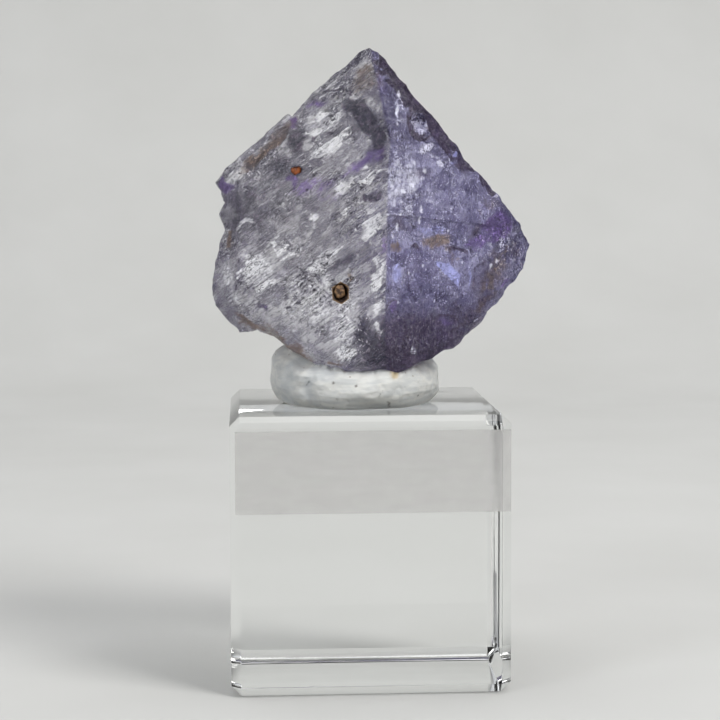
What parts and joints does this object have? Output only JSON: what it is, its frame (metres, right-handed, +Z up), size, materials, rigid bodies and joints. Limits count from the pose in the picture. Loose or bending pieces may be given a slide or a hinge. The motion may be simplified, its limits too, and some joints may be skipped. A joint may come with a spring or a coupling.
{
  "type": "fluorite specimen",
  "caption": "Purple and grey fluorite crystal standing on a corner in white putty on a clear acrylic display cube with a bare clear label strip.",
  "frame": {"origin": "centre of the acrylic cube's underside, the face that the specimen stands on", "axes": "+Z up, along the longest extent; -Y is the front, the side with the label strip and the two big crystal faces; +X is to the right seen from the front"},
  "size_m": [0.0299, 0.0256, 0.0583],
  "materials": {
    "fluorite": "clear to cloudy purple and grey crystal with flat glossy faces and a rough broken side",
    "iron_oxide": "earthy rust brown mineral",
    "putty": "soft white putty with a faint sheen",
    "acrylic": "polished clear acrylic",
    "clear_tape": "clear tape, slightly frosted"
  },
  "bodies": {
    "root": {"fluorite_crystal": "fluorite", "rust_grain_lower": "iron_oxide", "rust_grain_upper": "iron_oxide", "putty_pat": "putty", "acrylic_cube": "acrylic", "label_strip": "clear_tape"}
  },
  "joints": []
}
